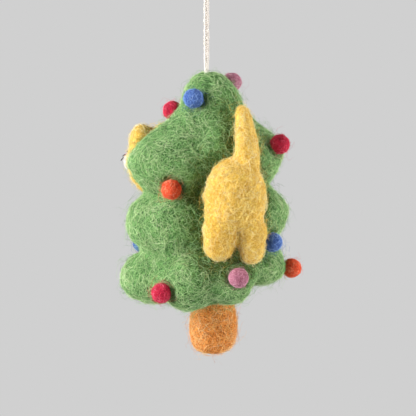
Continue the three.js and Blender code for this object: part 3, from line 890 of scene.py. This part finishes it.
# How deep the tree is drawn in beside each ball, the cat and the cord, and how far from them
BALL_DEPTH = 4.6 * MM
BALL_REACH = 2.2 * MM
CAT_DEPTH = 3 * MM
CAT_REACH = 7 * MM
# How far the tint, the painted shade and the strands of the cat's wool reach beside it
CAT_WOOL_AND_SHADE_REACH = 12 * MM
CORD_DEPTH = 1 * MM
CORD_REACH = 6 * MM
# The cat: how wide the creases are that its tail and legs fill where they join the rump, and how far
# from the middle of the head the cheeks begin
TAIL_CLOSING = 1.6 * MM
LEG_CLOSING = 9 * MM
CHEEK_WIDTH = 8 * MM
# The gap between the hind legs: its width at the feet, its rise and half its length from front to back
GAP_WIDTH = 3.6 * MM
GAP_RISE = 7.4 * MM
GAP_DEPTH = 16 * MM


def nearness(distance, reach):
    """1 beside what is needled into wool, and smoothly less to 0 at its reach."""
    near = np.clip(1 - distance / reach, 0, 1)
    return near * near * (3 - 2 * near)


def sideways(normals, across):
    """1 where a piece is beside a point of a skin, and less to 0 where it lies on that point."""
    length = np.maximum(np.linalg.norm(across, axis=1), PAST_FACE)
    over = np.clip(np.sum(normals * across, axis=1) / length, 0, 1)
    return 1 - over * over


def drawn_in(mesh, cat):
    """A skin drawn in round each ball, at the cord and along the cat, with an attribute for how near the
    cat is, which sets where the cat's wool is worked in and where painted shade darkens the wool.
    """
    places, normals = points_of(mesh), normals_of(mesh)
    nearest = [cat.find_nearest(place) for place in places]
    beside = np.array([found[3] for found in nearest])
    across = np.array([found[0] for found in nearest]) - places
    depth = CAT_DEPTH * nearness(beside, CAT_REACH) * sideways(normals, across)
    share = mesh.attributes.new(CAT_WOOL_AND_SHADE, "FLOAT", "POINT")
    share.data.foreach_set("value", nearness(beside, CAT_WOOL_AND_SHADE_REACH))
    beside = np.linalg.norm(places - np.array(EXIT_POINT), axis=1)
    depth = np.maximum(depth, CORD_DEPTH * nearness(beside, CORD_REACH))
    for name in BALLS:
        low, high = (np.array(corner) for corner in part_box(name))
        across = (low + high) / 2 - places
        beside = np.linalg.norm(across, axis=1) - np.max(high - low) / 2
        depth = np.maximum(depth, BALL_DEPTH * nearness(beside, BALL_REACH) * sideways(normals, across))
    push(mesh, -depth)
    return mesh


def tree_skin(cat):
    """The three tiers, which flow into each other."""
    solid = merged_copy([*TIERS, "wool_core", "loop_knot"])
    skin = closed(solid, TREE_VOXEL, swell=0.3 * MM, close=1.2 * MM)
    return drawn_in(needled(skin, smooth=8, seed=3.1, waves=LARGE_WAVES), cat)


def leg_gap():
    """A wedge that parts the hind legs, from under the feet up to where they join."""
    left, right = ((Vector(low) + Vector(high)) / 2 for low, high in map(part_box, LEGS))
    up = Vector((0, 0, 1))
    side = ((right - left) * Vector((1, 1, 0))).normalized()
    through = side.cross(up) * GAP_DEPTH
    foot = (left + right) / 2
    foot.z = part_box(LEGS[0])[0][2]
    corners = [
        foot + up * GAP_RISE,
        foot - up * GAP_RISE + side * GAP_WIDTH,
        foot - up * GAP_RISE - side * GAP_WIDTH,
    ]
    return wrapped([corner + way for corner in corners for way in (through, -through)])


def hind_skin():
    """The rump flows into the tail and into each leg, and the legs stay apart."""
    flows = [
        closed(merged_copy(["cat_rump", limb]), CAT_VOXEL, close=width)
        for limb, width in (("cat_tail", TAIL_CLOSING), *((leg, LEG_CLOSING) for leg in LEGS))
    ]
    solid = closed(merged_copy([], flows), CAT_VOXEL, swell=0.1 * MM, close=0.3 * MM)
    wedge = linked("wedge", leg_gap())
    solid = modified(solid, "BOOLEAN", object=wedge, operation="DIFFERENCE", solver="EXACT")
    bpy.data.objects.remove(wedge)
    return needled(closed(solid, CAT_VOXEL), smooth=11, seed=5.7, waves=SMALL_WAVES)


def front_skin():
    """The head, with each ear flowing straight into the cheek below it."""
    head = [v.co for v in cad["cat_head"].data.vertices]
    cheeks = []
    for side, ear in zip((1, -1), EARS):
        outer = [point for point in head if side * point.x > CHEEK_WIDTH]
        cheeks.append(wrapped([*outer, *(v.co for v in cad[ear].data.vertices)]))
    skin = closed(merged_copy(FRONT, cheeks), CAT_VOXEL, swell=0.1 * MM, close=1.6 * MM)
    return needled(skin, smooth=8, seed=7.3, waves=SMALL_WAVES)


def plain_skin(name, voxel, smooth, seed, waves, swell=0.0):
    """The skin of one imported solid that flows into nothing."""
    return needled(closed(merged_copy([name]), voxel, swell), smooth, seed, waves)


hind_felt = hind_skin()
hind_bvh = bvh(hind_felt)
tier_felt = tree_skin(hind_bvh)
front_felt = front_skin()
trunk_felt = plain_skin("trunk", CAT_VOXEL, smooth=8, seed=9.9, waves=SMALL_WAVES, swell=0.2 * MM)
muzzle_felt = plain_skin("cat_muzzle", BALL_VOXEL, smooth=8, seed=2.2, waves=BALL_WAVES)
tier_bvh, front_bvh, muzzle_bvh = (bvh(mesh) for mesh in (tier_felt, front_felt, muzzle_felt))


# Pieces of felt with their strands, whose sizes are in millimetres
# The under-coat takes the darker tones, partly as painted shade low in the coat
UNDER = {"points": 4, "length": 2.6, "thickness": 0.15, "curl": 1.2, "lift": 0.4, "tones": (0.0, 0.5)}
OVER = {"points": 6, "length": 5, "thickness": 0.11, "curl": 2, "lift": 0.7, "tones": (0.22, 0.9)}
CURLS = {"points": 8, "length": 7, "thickness": 0.11, "curl": 3.6, "lift": 1, "tones": (0.7, 1.1)}
FUZZ = {
    "points": 5, "length": 3, "thickness": 0.06, "curl": 2, "lift": 2, "tones": (0.2, 0.8),
    "free_end": 1.0,
}
WISPS = {
    "points": 7, "length": 8, "thickness": 0.065, "curl": 4.5, "lift": 4.5, "tones": (0.1, 0.5),
    "free_end": 1.0,
}
CAT_OVER = {"points": 6, "length": 4, "thickness": 0.1, "curl": 2.4, "lift": 0.8, "tones": (0.15, 1.0)}
CAT_FUZZ = {
    "points": 5, "length": 2.4, "thickness": 0.075, "curl": 1.6, "lift": 1.9, "tones": (0.3, 1.0),
    "free_end": 1.0,
}
BALL_OVER = {"points": 4, "length": 2.2, "thickness": 0.17, "curl": 0.9, "lift": 0.25, "tones": (0, 1.0)}
BALL_FUZZ = {"points": 5, "length": 3, "thickness": 0.06, "curl": 1.4, "lift": 1.8, "free_end": 1.0}
COTTON_FUZZ = {"points": 5, "length": 1.2, "thickness": 0.05, "curl": 0.6, "lift": 0.45, "free_end": 1.0}
# Coats: layers of strands, and how many of them grow on a square millimetre
LARGE_COAT = {
    "under": (0.48, UNDER), "over": (0.62, OVER), "curls": (0.22, CURLS), "fuzz": (0.32, FUZZ),
    "wisps": (0.08, WISPS),
}
CAT_COAT = {
    "under": (0.5, UNDER), "over": (0.9, CAT_OVER), "curls": (0.1, CURLS), "fuzz": (0.6, CAT_FUZZ),
    "wisps": (0.04, WISPS),
}
SMALL_COAT = {"over": (3, BALL_OVER), "fuzz": (0.35, BALL_FUZZ)}
BALL_COAT = {**SMALL_COAT, "wisps": (0.08, WISPS)}
COTTON_FUZZ_DENSITY = 1.6
# First seed of each kind of piece; every layer of strands takes the next one
LARGE_SEED = 10
BALL_SEED = 200
MUZZLE_SEED = 300
NOSE_SEED = 310
COTTON_SEED = 320


def felt_piece(name, mesh, dye, seed=0, coat=None):
    """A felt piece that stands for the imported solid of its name, with its coat of strands."""
    ground, strands = WOOLS[dye]
    slot = f"wool_{dye}"
    piece = linked(name + "_felt", smooth_shaded(mesh, ground))
    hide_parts(name)
    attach(piece, TREE_BODY)
    for layer, (density, sizes) in (coat or {}).items():
        strands_on(f"{name}_{layer}", mesh, TREE_BODY, strands, slot, seed, density=density, **sizes)
        seed += 1


def make_felt():
    """The tiers, the trunk and the cat, parted from their skins, and the core inside the tree."""
    groups = [
        (tier_felt, TIERS, "green", LARGE_COAT, [hind_bvh, front_bvh]),
        (hind_felt, HIND, "yellow", CAT_COAT, [tier_bvh]),
        (front_felt, FRONT, "yellow", CAT_COAT, [tier_bvh, muzzle_bvh]),
        (trunk_felt, ["trunk"], "brown", LARGE_COAT, [tier_bvh]),
    ]
    seed = LARGE_SEED
    for skin, names, dye, coat, covers in groups:
        for name, mesh in parted(skin, names, covers).items():
            felt_piece(name, mesh, dye, seed, coat)
            seed += len(coat)
    core = plain_skin("wool_core", TREE_VOXEL, smooth=6, seed=4.4, waves=())
    felt_piece("wool_core", core, "undyed")


def make_balls():
    """Balls in the colour that their name ends in."""
    for index, name in enumerate(BALLS):
        dye = name.rsplit("_", 1)[1]
        skin = plain_skin(name, BALL_VOXEL, smooth=5, seed=index, waves=BALL_WAVES)
        mark_shown(skin, [tier_bvh, hind_bvh, front_bvh])
        felt_piece(name, skin, dye, BALL_SEED + index * len(BALL_COAT), BALL_COAT)


# Face of the cat: a felt muzzle and nose, bead eyes and thread whiskers
BEAD_MARKS = 0.5 * MM
THREAD_TWIST = 0.12 * MM
THREAD_BUMP = 0.04 * MM


def bead_black():
    """Glossy black beads with faint handling marks."""
    p = Paint("Black bead", Coat_Weight=0.6, Coat_Roughness=0.08, Specular_IOR_Level=0.5)
    marks = p.noise(BEAD_MARKS, detail=3.0)
    shade = p.ramp(marks, [(0.3, "0b0a0a"), (0.7, "1a1817")])
    return p.finish(Base_Color=shade, Roughness=p.between(marks, 0.1, 0.3))


def thread_black():
    """Waxed black sewing thread, with its twist."""
    p = Paint("Black thread", Specular_IOR_Level=0.3)
    twist = p.noise(THREAD_TWIST)
    shade = p.ramp(twist, [(0.3, "171312"), (0.7, "3a3230")])
    rough = p.between(twist, 0.45, 0.75)
    return p.finish(Base_Color=shade, Roughness=rough, Normal=p.bump(twist, THREAD_BUMP))


def make_face():
    """The muzzle and nose with their strands, the eyes, and the thread of the whiskers."""
    mark_shown(muzzle_felt, [tier_bvh, front_bvh])
    felt_piece("cat_muzzle", muzzle_felt, "white", MUZZLE_SEED, SMALL_COAT)
    nose = plain_skin("cat_nose", FACE_VOXEL, smooth=4, seed=1.7, waves=BALL_WAVES, swell=0.1 * MM)
    mark_shown(nose, [muzzle_bvh])
    felt_piece("cat_nose", nose, "pink", NOSE_SEED, SMALL_COAT)
    bead = bead_black()
    for name in ("cat_eye_left", "cat_eye_right"):
        mesh = modified(closed(merged_copy([name]), FACE_VOXEL), "SMOOTH", factor=0.5, iterations=6)
        eye = linked(name + "_bead", smooth_shaded(mesh, bead))
        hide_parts(name)
        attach(eye, TREE_BODY)
    thread = thread_black()
    for name in cad:
        if name.startswith("whisker_"):
            cad[name].material_slots[0].material = thread


def make_cotton_fuzz():
    """Short loose fibres on the cord, clear of its lowest stretch at the tree."""
    fibres = wool_strands("Cotton fibres", COTTON_FUZZ_TONES, COTTON_FUZZ_TONES)
    mark(loop_mesh, [face.center.z > FUZZ_LOWEST for face in loop_mesh.polygons])
    strands_on(
        "cotton_loop_fuzz", loop_mesh, LOOP_BODY, fibres, COTTON_SLOT, COTTON_SEED,
        density=COTTON_FUZZ_DENSITY, **COTTON_FUZZ,
    )


make_felt()
make_balls()
make_face()
make_cotton_fuzz()


# Studio: a grey room with soft light from all round, a key lamp at the left and a fill lamp at the right
BACKGROUND = "d0d0d0"
ROOM_LIGHT = 0.36
KEY_LAMP = {"azimuth": 54, "elevation": 14, "distance": 0.7, "size": 0.5, "watts": 9.3}
FILL_LAMP = {"azimuth": 205, "elevation": 0, "distance": 0.8, "size": 0.6, "watts": 8.6}
FLOOR_HEIGHT = -450 * MM
FLOOR_RADIUS = 420 * MM
FLOOR_SIDES = 96
FLOOR_FADE = 3.0


def lamp(name, azimuth, elevation, distance, size, watts):
    """A square lamp, turned to the middle of the picture."""
    data = bpy.data.lights.new(name, "AREA")
    data.size = size
    data.energy = watts
    stand_at(linked(name, data), azimuth, elevation, distance)


def studio_world():
    """Even grey for the camera and in gloss, and soft white light from all round."""
    world = bpy.data.worlds.new("studio")
    scene.world = world
    world.use_nodes = True
    world.node_tree.nodes.clear()
    g = Nodes(world.node_tree)
    rays = g.node("ShaderNodeLightPath").outputs
    sight = rays["Is Camera Ray"]
    for kind in ("Is Glossy Ray", "Is Transmission Ray"):
        sight = g.math("MAXIMUM", sight, rays[kind])
    lit = g.add("ShaderNodeBackground", {"Color": colour(WHITE), "Strength": ROOM_LIGHT})
    seen = g.add("ShaderNodeBackground", {"Color": colour(BACKGROUND)})
    mix = g.add("ShaderNodeMixShader", {"Fac": sight, 1: lit, 2: seen})
    g.node("ShaderNodeOutputWorld", {"Surface": mix})


def pale_floor():
    """A plain floor well below the ornament, which fades out at its edge."""
    p = Paint("Pale floor", Base_Color=colour(BACKGROUND), Roughness=0.95, Specular_IOR_Level=0.1)
    reach = p.add("ShaderNodeVectorMath", {0: p.object_place()}, out="Value", operation="LENGTH")
    edge = p.math("POWER", p.math("DIVIDE", reach, FLOOR_RADIUS), FLOOR_FADE)
    p.finish(Alpha=p.math("SUBTRACT", 1.0, edge, clamp=True))
    bm = bmesh.new()
    bmesh.ops.create_circle(bm, cap_ends=True, segments=FLOOR_SIDES, radius=FLOOR_RADIUS)
    mesh = bpy.data.meshes.new("floor")
    bm.to_mesh(mesh)
    bm.free()
    mesh.materials.append(p.material)
    floor = linked("floor", mesh)
    floor.location.z = FLOOR_HEIGHT


scene.view_settings.view_transform = "Standard"
studio_world()
pale_floor()
lamp("key", **KEY_LAMP)
lamp("fill", **FILL_LAMP)
